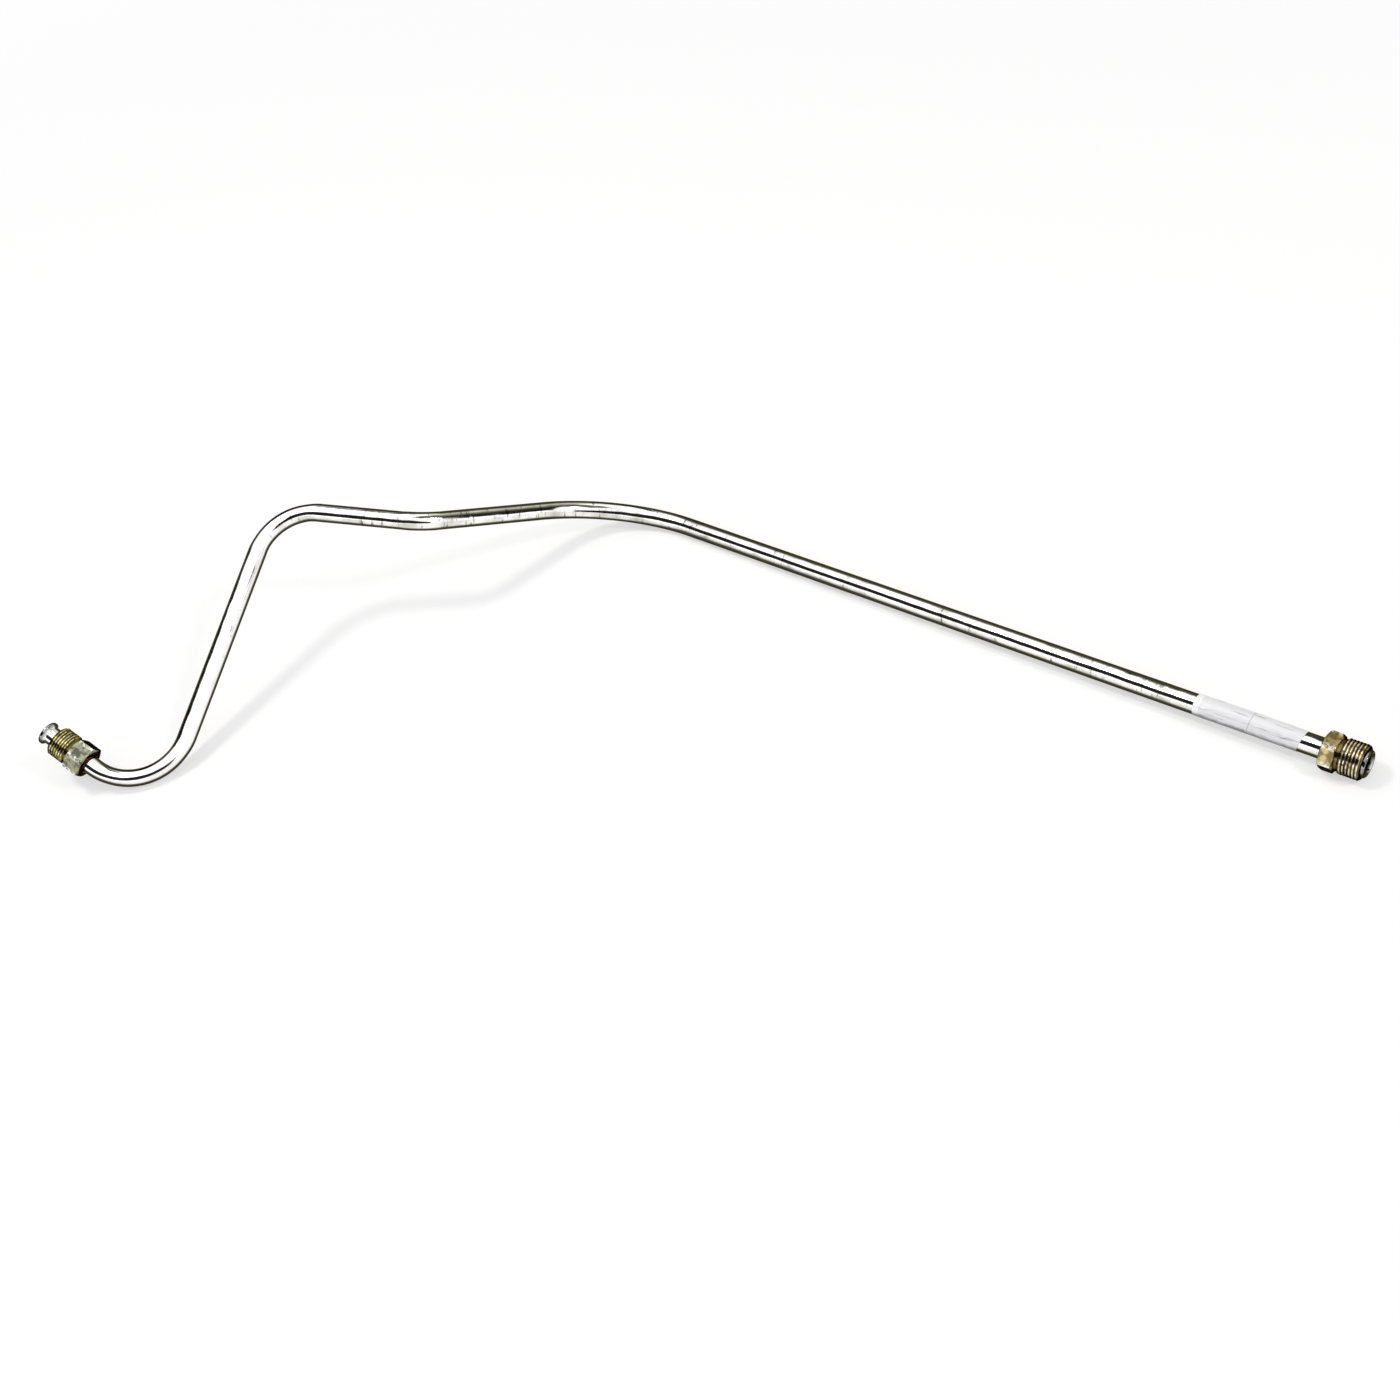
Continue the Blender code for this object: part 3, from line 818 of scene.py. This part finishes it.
def passivated_zinc(name, colours, shank, hexagon, rubbing):
    """Turned steel, zinc plated and yellow passivated: a satin film, patchy where it ran in the
    bath, rubbed to silver on the thread's crests and the hexagon's corners, and brown in the
    thread. Its colour is painted darker where it is seen edge-on, as painted shade."""
    material, tree = new_material(name)
    place = add_node(tree, "ShaderNodeAttribute", {"attribute_name": "as_turned"})
    # Patches of film 4 mm across, and finer ones of 1.5 mm
    film, patches = (
        add_node(
            tree, "ShaderNodeTexNoise", {"Scale": scale, "Detail": 4.0},
            [("Vector", place, "Vector")])
        for scale in (260.0, 700.0))
    thick = add_node(
        tree, "ShaderNodeMapRange", {"From Min": 0.44, "From Max": 0.56},
        [("Value", film, "Fac")])
    hexagon_film, shank_film = (
        add_node(
            tree, "ShaderNodeMix",
            {"data_type": "RGBA", MIX_A: (*thin_colour, 1), MIX_B: (*thick_colour, 1)},
            [("Factor", thick, "Result")])
        for thin_colour, thick_colour in (hexagon, shank))
    # The shank begins 10.8 mm behind the nose
    axes = add_node(tree, "ShaderNodeSeparateXYZ", (), [("Vector", place, "Vector")])
    on_shank = add_node(
        tree, "ShaderNodeMapRange", {"From Min": -10.8 * MM, "From Max": -10.6 * MM},
        [("Value", axes, "Z")])
    ground = add_node(
        tree, "ShaderNodeMix", {"data_type": "RGBA"},
        [("Factor", on_shank, "Result"), (MIX_A, hexagon_film, MIX_RESULT),
         (MIX_B, shank_film, MIX_RESULT)])
    flat = add_node(
        tree, "ShaderNodeVectorMath", {"operation": "MULTIPLY", 1: (1, 1, 0)},
        [(0, place, "Vector")])
    off_axis = add_node(
        tree, "ShaderNodeVectorMath", {"operation": "LENGTH"}, [(0, flat, "Vector")])
    # Off the nut's axis, crests are past 7.75 mm, corners past 8.3 mm, and roots within 7.7 mm
    crest, corner, root = (
        add_node(
            tree, "ShaderNodeMapRange", {"From Min": none, "From Max": whole, "To Max": most},
            [("Value", off_axis, "Value")])
        for none, whole, most in (
            (7.75 * MM, 7.9 * MM, 1.0), (8.3 * MM, 8.8 * MM, 1.0), (7.7 * MM, 7.2 * MM, 0.75)))
    crests, darkening = (
        add_node(
            tree, "ShaderNodeMath", {"operation": "MULTIPLY"},
            [(0, depth, "Result"), (1, on_shank, "Result")])
        for depth in (crest, root))
    high_spots = add_node(
        tree, "ShaderNodeMath", {"operation": "MAXIMUM"},
        [(0, crests, "Value"), (1, corner, "Result")])
    handled = add_node(
        tree, "ShaderNodeMapRange", {"From Min": rubbing, "From Max": rubbing + 0.15},
        [("Value", patches, "Fac")])
    rub = add_node(
        tree, "ShaderNodeMath", {"operation": "MULTIPLY"},
        [(0, high_spots, "Value"), (1, handled, "Result")])
    rubbed = add_node(
        tree, "ShaderNodeMix", {"data_type": "RGBA", MIX_B: (*colours.rubbed, 1)},
        [("Factor", rub, "Value"), (MIX_A, ground, MIX_RESULT)])
    colour = add_node(
        tree, "ShaderNodeMix", {"data_type": "RGBA", MIX_B: (*colours.root, 1)},
        [("Factor", darkening, "Value"), (MIX_A, rubbed, MIX_RESULT)])
    # Turning marks: rings 0.25 mm apart about the nut's axis
    marks = add_node(
        tree, "ShaderNodeTexWave",
        {"wave_type": "RINGS", "rings_direction": "Z", "Scale": 640.0, "Distortion": 0.6,
         "Detail": 1.0},
        [("Vector", place, "Vector")])
    cut = add_node(
        tree, "ShaderNodeBump", {"Strength": 0.12, "Distance": 0.02 * MM},
        [("Height", marks, "Fac")])
    grain = add_node(
        tree, "ShaderNodeBump", {"Strength": 0.4, "Distance": 0.1 * MM},
        [("Height", patches, "Fac"), ("Normal", cut, "Normal")])
    rough = add_node(
        tree, "ShaderNodeMapRange",
        {"From Min": 0.3, "From Max": 0.7, "To Min": 0.15, "To Max": 0.26},
        [("Value", film, "Fac")])
    # Painted shade: the nut darkens towards the thread-root colour where it is seen edge-on
    edge_shaded = paint_edge_shade(tree, colour, colours.root, 0.4, 0.7)
    zinc = add_node(
        tree, "ShaderNodeBsdfPrincipled", {"Metallic": 1.0, "Specular Tint": (*colours.root, 1)},
        [("Base Color", edge_shaded, MIX_RESULT), ("Roughness", rough, "Result"),
         ("Normal", grain, "Normal")])
    add_node(tree, "ShaderNodeOutputMaterial", (), [("Surface", zinc, "BSDF")])
    return material


def label_paper(colours, label):
    """Coated label paper: off-white with a soft sheen and a little tooth, a bare margin at one
    end, a perforation across the middle, and painted shade along the underside and in creases."""
    material, tree = new_material("coated_label_paper")
    place = add_node(tree, "ShaderNodeAttribute", {"attribute_name": "as_flat"})
    axes = add_node(tree, "ShaderNodeSeparateXYZ", (), [("Vector", place, "Vector")])
    margin = add_node(
        tree, "ShaderNodeMapRange", {"From Min": 2.9 * MM, "From Max": 2.6 * MM},
        [("Value", axes, "X")])
    sheet = add_node(
        tree, "ShaderNodeMix",
        {"data_type": "RGBA", MIX_A: (*colours.paper, 1), MIX_B: (*colours.margin, 1)},
        [("Factor", margin, "Result")])
    # A perforation 0.4 mm wide, a little past the middle
    past_middle = add_node(
        tree, "ShaderNodeMath", {"operation": "SUBTRACT", 1: label.length * 0.53},
        [(0, axes, "X")])
    off_middle = add_node(
        tree, "ShaderNodeMath", {"operation": "ABSOLUTE"}, [(0, past_middle, "Value")])
    perforation = add_node(
        tree, "ShaderNodeMapRange", {"From Min": 0.3 * MM, "From Max": 0.1 * MM, "To Max": 0.45},
        [("Value", off_middle, "Value")])
    # Painted shade along the underside, 7.5 to 14 mm round from where the sheet starts, with an
    # edge that wanders
    wobble = add_node(
        tree, "ShaderNodeTexNoise", {"Scale": 300.0, "Detail": 4.0}, [("Vector", place, "Vector")])
    wander = add_node(
        tree, "ShaderNodeMapRange",
        {"From Min": 0.3, "From Max": 0.7, "To Min": -0.4 * MM, "To Max": 0.4 * MM},
        [("Value", wobble, "Fac")])
    round_it = add_node(
        tree, "ShaderNodeMath", {"operation": "ADD"}, [(0, axes, "Y"), (1, wander, "Result")])
    starts, stops = (
        add_node(
            tree, "ShaderNodeMapRange", {"From Min": none, "From Max": whole},
            [("Value", round_it, "Value")])
        for none, whole in ((6.8 * MM, 8.6 * MM), (14.5 * MM, 12.5 * MM)))
    darkening = add_node(
        tree, "ShaderNodeMath", {"operation": "MULTIPLY"},
        [(0, starts, "Result"), (1, stops, "Result")])
    # Painted shade in creases along the sheet, 1 mm apart and up to 12 mm long
    crease_place = add_node(
        tree, "ShaderNodeMapping", {"Scale": (80, 900, 1)}, [("Vector", place, "Vector")])
    folds = add_node(
        tree, "ShaderNodeTexNoise", {"Scale": 1.0, "Detail": 2.0},
        [("Vector", crease_place, "Vector")])
    crease_shade = add_node(
        tree, "ShaderNodeMapRange", {"From Min": 0.58, "From Max": 0.72, "To Max": 0.65},
        [("Value", folds, "Fac")])
    lines = add_node(
        tree, "ShaderNodeMath", {"operation": "MAXIMUM"},
        [(0, crease_shade, "Result"), (1, perforation, "Result")])
    shade_with_perforation = add_node(
        tree, "ShaderNodeMath", {"operation": "MAXIMUM"},
        [(0, darkening, "Value"), (1, lines, "Value")])
    # Painted shade on the underside and in the creases, and the perforation line
    colour = add_node(
        tree, "ShaderNodeMix", {"data_type": "RGBA", MIX_B: (*colours.label_shade_and_perforation, 1)},
        [("Factor", shade_with_perforation, "Value"), (MIX_A, sheet, MIX_RESULT)])
    # Paper fibres of about 0.4 mm, and cockles of 6 mm where the sheet isn't stuck down
    fibres, cockle = (
        add_node(
            tree, "ShaderNodeTexNoise", {"Scale": scale, "Detail": detail},
            [("Vector", place, "Vector")])
        for scale, detail in ((2500.0, 3.0), (160.0, 2.0)))
    waves = add_node(
        tree, "ShaderNodeBump", {"Strength": 0.6, "Distance": 0.6 * MM},
        [("Height", cockle, "Fac")])
    tooth = add_node(
        tree, "ShaderNodeBump", {"Strength": 0.15, "Distance": 0.02 * MM},
        [("Height", fibres, "Fac"), ("Normal", waves, "Normal")])
    paper = add_node(
        tree, "ShaderNodeBsdfPrincipled", {"Roughness": 0.32},
        [("Base Color", colour, MIX_RESULT), ("Normal", tooth, "Normal")])
    add_node(tree, "ShaderNodeOutputMaterial", (), [("Surface", paper, "BSDF")])
    return material


class FUELLINE_OT_stage(bpy.types.Operator):
    """Set the white table, the light tent and the camera"""

    bl_idname = "fuel_line.stage"
    bl_label = "Set the stage"

    # Where the camera stands, and its turns: about the vertical, down, and about its own axis
    eye = Vector((0.4463, -0.3319, 0.5641))
    yaw = math.radians(-50.01)
    fall = math.radians(43.68)
    roll = math.radians(-16.2)
    nearest = 10 * MM
    # The table's side, in metres, and the distances between which it turns into the backdrop
    table_side = 12
    table_fades = (0.5, 1.5)
    # Place, size and power of the two lamps
    lamps = (
        ("left_lamp", Vector((-0.726, -0.248, 1.616)), 0.34, 9.5),
        ("right_lamp", Vector((1.16, 0.302, 1.267)), 0.26, 5.5),
    )
    lamp_colour = "#fffaf2"
    # The tent, by degrees from the front horizon over the top to the back: white, a black card,
    # and white
    cloth = "#f8faff"
    card_top = 65
    roof = ((0, cloth), (20, cloth), (24, "#161612"), (61, "#161612"), (65, cloth), (180, cloth))
    # The card hangs askew, lower to the right: degrees in one unit across, and where it is true
    card_tilt = 13
    card_true = -0.48
    # The tent is open at the back, from these degrees on. A dim room shows there: dark at the far
    # left, pale with one dark strip in it, and darker again to the right. The places are one
    # more than how far right of the object a direction points, from 0 to 2
    opening = 124
    room = (
        (0.0, "#2c2b25"), (0.28, "#2c2b25"), (0.32, "#c0bfb3"), (0.54, "#c0bfb3"),
        (0.58, "#161612"), (0.68, "#161612"), (0.72, "#cbcabe"), (0.9, "#c0bfb3"),
        (1.3, "#656457"), (1.6, "#1c1b17"), (2.0, "#1c1b17"))
    # The room's floor is pale, and starts at these degrees
    room_floor_from = 146
    room_floor = "#c0bfb3"
    # Degrees in which the cloth passes into the opening, and the room into its floor
    soft_edge = 4
    # In places the opening reaches further up, by these degrees where the gap is white
    gap_rise = 40
    gap = (
        (0.0, "#dadada"), (0.28, "#dadada"), (0.32, "#000000"), (0.54, "#000000"),
        (0.58, "#969696"), (0.68, "#b4b4b4"), (0.72, "#000000"), (1.15, "#000000"),
        (1.28, "#ffffff"), (1.58, "#ffffff"), (1.64, "#777777"), (2.0, "#777777"))
    # How far across the side walls begin, and the lit middle of the roof ends
    side_walls = (0.925, 0.945)
    lit_middle = (0.55, 0.65)
    # How bright the cloth is: as soft light on the table and the label, and as the metal mirrors
    # the middle of the roof and its sides
    soft_light = 0.8
    lit_cloth = 1.75
    plain_cloth = 1.4
    # The white that the table keeps in its shadows, for the camera and in the metal
    floor_glow = 0.47

    def execute(self, context):
        self.set_camera(context)
        self.set_table(context)
        self.set_tent(context)
        for name, place, size, power in self.lamps:
            light = bpy.data.lights.new(name, "AREA")
            light.shape = "DISK"
            light.size = size
            light.energy = power
            light.color = srgb(self.lamp_colour)
            lamp = bpy.data.objects.new(name, light)
            aim = place.to_track_quat("Z", "Y").to_matrix().to_4x4()
            lamp.matrix_world = Matrix.Translation(place) @ aim
            context.scene.collection.objects.link(lamp)
        context.scene.view_settings.view_transform = "Standard"
        return {"FINISHED"}

    def set_camera(self, context):
        """The camera at the photograph's viewing angle."""
        level = Vector((math.cos(self.yaw), -math.sin(self.yaw), 0))
        ahead = Vector((
            math.sin(self.yaw) * math.cos(self.fall),
            math.cos(self.yaw) * math.cos(self.fall),
            -math.sin(self.fall)))
        above = level.cross(ahead)
        right = level * math.cos(self.roll) + above * math.sin(self.roll)
        up = above * math.cos(self.roll) - level * math.sin(self.roll)
        data = bpy.data.cameras.new("photograph")
        data.sensor_width = SENSOR_WIDTH
        data.lens = SENSOR_WIDTH * FOCAL_PIXELS / PICTURE_WIDTH
        data.clip_start = self.nearest
        camera = bpy.data.objects.new("photograph", data)
        turn = Matrix((right, up, -ahead)).transposed().to_4x4()
        camera.matrix_world = Matrix.Translation(self.eye) @ turn
        context.scene.collection.objects.link(camera)
        context.scene.camera = camera

    def set_table(self, context):
        """A wide white table top, which turns into the white backdrop further out."""
        deselect()
        bpy.ops.mesh.primitive_plane_add(size=self.table_side)
        table = context.object
        table.name = "table"
        material, tree = new_material("matt_white_table")
        colours = context.scene.fuel_line_colours
        white = add_node(tree, "ShaderNodeBsdfDiffuse", {"Color": (*colours.floor, 1)})
        shaded = add_node(tree, "ShaderNodeBsdfDiffuse", {"Color": (*colours.shade, 1)})
        glow = add_node(tree, "ShaderNodeEmission", {"Strength": self.floor_glow})
        path = add_node(tree, "ShaderNodeLightPath")
        seen = add_node(
            tree, "ShaderNodeMath", {"operation": "MAXIMUM"},
            [(0, path, "Is Camera Ray"), (1, path, "Is Glossy Ray")])
        lit = add_node(
            tree, "ShaderNodeAddShader", (), [(0, shaded, "BSDF"), (1, glow, "Emission")])
        place = add_node(tree, "ShaderNodeTexCoord")
        away = add_node(
            tree, "ShaderNodeVectorMath", {"operation": "LENGTH"}, [(0, place, "Object")])
        fades, faded = self.table_fades
        far = add_node(
            tree, "ShaderNodeMapRange", {"From Min": fades, "From Max": faded},
            [("Value", away, "Value")])
        backdrop = add_node(tree, "ShaderNodeEmission", {"Strength": 1.0})
        near = add_node(
            tree, "ShaderNodeMixShader", (),
            [(0, far, "Result"), (1, lit, "Shader"), (2, backdrop, "Emission")])
        shown = add_node(
            tree, "ShaderNodeMixShader", (),
            [(0, seen, "Value"), (1, white, "BSDF"), (2, near, "Shader")])
        add_node(tree, "ShaderNodeOutputMaterial", (), [("Surface", shown, "Shader")])
        table.data.materials.append(material)

    @staticmethod
    def add_ramp(tree, stops, span, source):
        """A colour ramp with stops at their shares of a span."""
        node = add_node(tree, "ShaderNodeValToRGB", (), [("Fac", source, 0)])
        ramp = node.color_ramp
        ramp.elements[0].position = stops[0][0] / span
        ramp.elements[1].position = stops[-1][0] / span
        for place, _ in stops[1:-1]:
            ramp.elements.new(place / span)
        for stop, (_, colour) in zip(ramp.elements, stops):
            stop.color = (*srgb(colour), 1)
        return node

    def set_tent(self, context):
        """A light tent: white overhead and at its sides, a black card in front, open behind."""
        world = bpy.data.worlds.new("light_tent")
        context.scene.world = world
        world.use_nodes = True
        tree = world.node_tree
        tree.nodes.clear()
        place = add_node(tree, "ShaderNodeTexCoord")
        axes = add_node(tree, "ShaderNodeSeparateXYZ", (), [("Vector", place, "Generated")])
        forward = add_node(
            tree, "ShaderNodeMath", {"operation": "MULTIPLY", 1: -1}, [(0, axes, "Y")])
        climb = add_node(
            tree, "ShaderNodeMath", {"operation": "ARCTAN2"},
            [(0, axes, "Z"), (1, forward, "Value")])
        over = add_node(
            tree, "ShaderNodeMapRange", {"From Max": math.pi}, [("Value", climb, "Value")])
        path = add_node(tree, "ShaderNodeLightPath")
        # The card shows in the metal alone, so that it doesn't darken the table before the tube
        past_card = add_node(
            tree, "ShaderNodeMapRange", {"To Min": self.card_top / 180, "To Max": 0.0},
            [("Value", path, "Is Glossy Ray")])
        askew = add_node(
            tree, "ShaderNodeMapRange",
            {"From Min": self.card_true, "From Max": self.card_true + 1,
             "To Max": self.card_tilt / 180, "clamp": False},
            [("Value", axes, "X")])
        hung = add_node(
            tree, "ShaderNodeMath", {"operation": "ADD"},
            [(0, over, "Result"), (1, askew, "Result")])
        seen_over = add_node(
            tree, "ShaderNodeMath", {"operation": "MAXIMUM"},
            [(0, hung, "Value"), (1, past_card, "Result")])
        roof = self.add_ramp(tree, self.roof, 180, seen_over)
        across = add_node(
            tree, "ShaderNodeMapRange", {"From Min": -1.0, "From Max": 1.0}, [("Value", axes, "X")])
        room = self.add_ramp(tree, self.room, 2, across)
        low = add_node(
            tree, "ShaderNodeMapRange",
            {"From Min": self.room_floor_from / 180,
             "From Max": (self.room_floor_from + self.soft_edge) / 180},
            [("Value", over, "Result")])
        view = add_node(
            tree, "ShaderNodeMix", {"data_type": "RGBA", MIX_B: (*srgb(self.room_floor), 1)},
            [("Factor", low, "Result"), (MIX_A, room, "Color")])
        gap = self.add_ramp(tree, self.gap, 2, across)
        # The gaps, too, show in the metal alone
        reach = add_node(
            tree, "ShaderNodeMapRange", {"To Max": self.gap_rise / 180},
            [("Value", path, "Is Glossy Ray")])
        raised = add_node(
            tree, "ShaderNodeMath", {"operation": "MULTIPLY_ADD"},
            [(0, gap, "Color"), (1, reach, "Result"), (2, over, "Result")])
        opened = add_node(
            tree, "ShaderNodeMapRange",
            {"From Min": self.opening / 180, "From Max": (self.opening + self.soft_edge) / 180},
            [("Value", raised, "Value")])
        inner = add_node(
            tree, "ShaderNodeMix", {"data_type": "RGBA"},
            [("Factor", opened, "Result"), (MIX_A, roof, "Color"), (MIX_B, view, MIX_RESULT)])
        sideways = add_node(
            tree, "ShaderNodeMath", {"operation": "ABSOLUTE"}, [(0, axes, "X")])
        begins, closed = self.side_walls
        side = add_node(
            tree, "ShaderNodeMapRange", {"From Min": begins, "From Max": closed},
            [("Value", sideways, "Value")])
        walls = add_node(
            tree, "ShaderNodeMix", {"data_type": "RGBA", MIX_B: (*srgb(self.cloth), 1)},
            [("Factor", side, "Result"), (MIX_A, inner, MIX_RESULT)])
        bright, plain = self.lit_middle
        lit = add_node(
            tree, "ShaderNodeMapRange",
            {"From Min": bright, "From Max": plain,
             "To Min": self.lit_cloth, "To Max": self.plain_cloth},
            [("Value", sideways, "Value")])
        level = add_node(
            tree, "ShaderNodeMix", {"data_type": "FLOAT", "A": self.soft_light},
            [("Factor", path, "Is Glossy Ray"), ("B", lit, "Result")])
        tent = add_node(
            tree, "ShaderNodeBackground", (),
            [("Color", walls, MIX_RESULT), ("Strength", level, "Result")])
        white = add_node(tree, "ShaderNodeBackground", {"Color": (1, 1, 1, 1), "Strength": 1.0})
        shown = add_node(
            tree, "ShaderNodeMixShader", (),
            [(0, path, "Is Camera Ray"), (1, tent, "Background"), (2, white, "Background")])
        add_node(tree, "ShaderNodeOutputWorld", (), [("Surface", shown, "Shader")])


class FUELLINE_PT_sidebar(bpy.types.Panel):
    """Lists the pieces of the fuel line"""

    bl_label = "Fuel Line"
    bl_idname = "FUELLINE_PT_sidebar"
    bl_space_type = "VIEW_3D"
    bl_region_type = "UI"
    bl_category = "Fuel Line"

    def draw(self, context):
        for step in STEPS:
            self.layout.operator(step.bl_idname)
        for group in GROUPS:
            box = self.layout.box()
            settings = getattr(context.scene, GROUPS[group])
            for name in group.__annotations__:
                box.prop(settings, name)


STEPS = (FUELLINE_OT_stage, FUELLINE_OT_tube, FUELLINE_OT_nuts, FUELLINE_OT_label)
GROUPS = {
    FuelLineTube: "fuel_line_tube",
    FuelLineNuts: "fuel_line_nuts",
    FuelLineLabel: "fuel_line_label",
    FuelLineColours: "fuel_line_colours",
}


def register():
    for group, name in GROUPS.items():
        bpy.utils.register_class(group)
        setattr(bpy.types.Scene, name, bpy.props.PointerProperty(type=group))
    for step in STEPS:
        bpy.utils.register_class(step)
    bpy.utils.register_class(FUELLINE_PT_sidebar)


def unregister():
    bpy.utils.unregister_class(FUELLINE_PT_sidebar)
    for step in reversed(STEPS):
        bpy.utils.unregister_class(step)
    for group, name in GROUPS.items():
        delattr(bpy.types.Scene, name)
        bpy.utils.unregister_class(group)


def main():
    register()
    bpy.ops.fuel_line.stage()
    bpy.ops.fuel_line.tube()
    bpy.ops.fuel_line.nuts()
    bpy.ops.fuel_line.label()


if __name__ == "__main__":
    main()
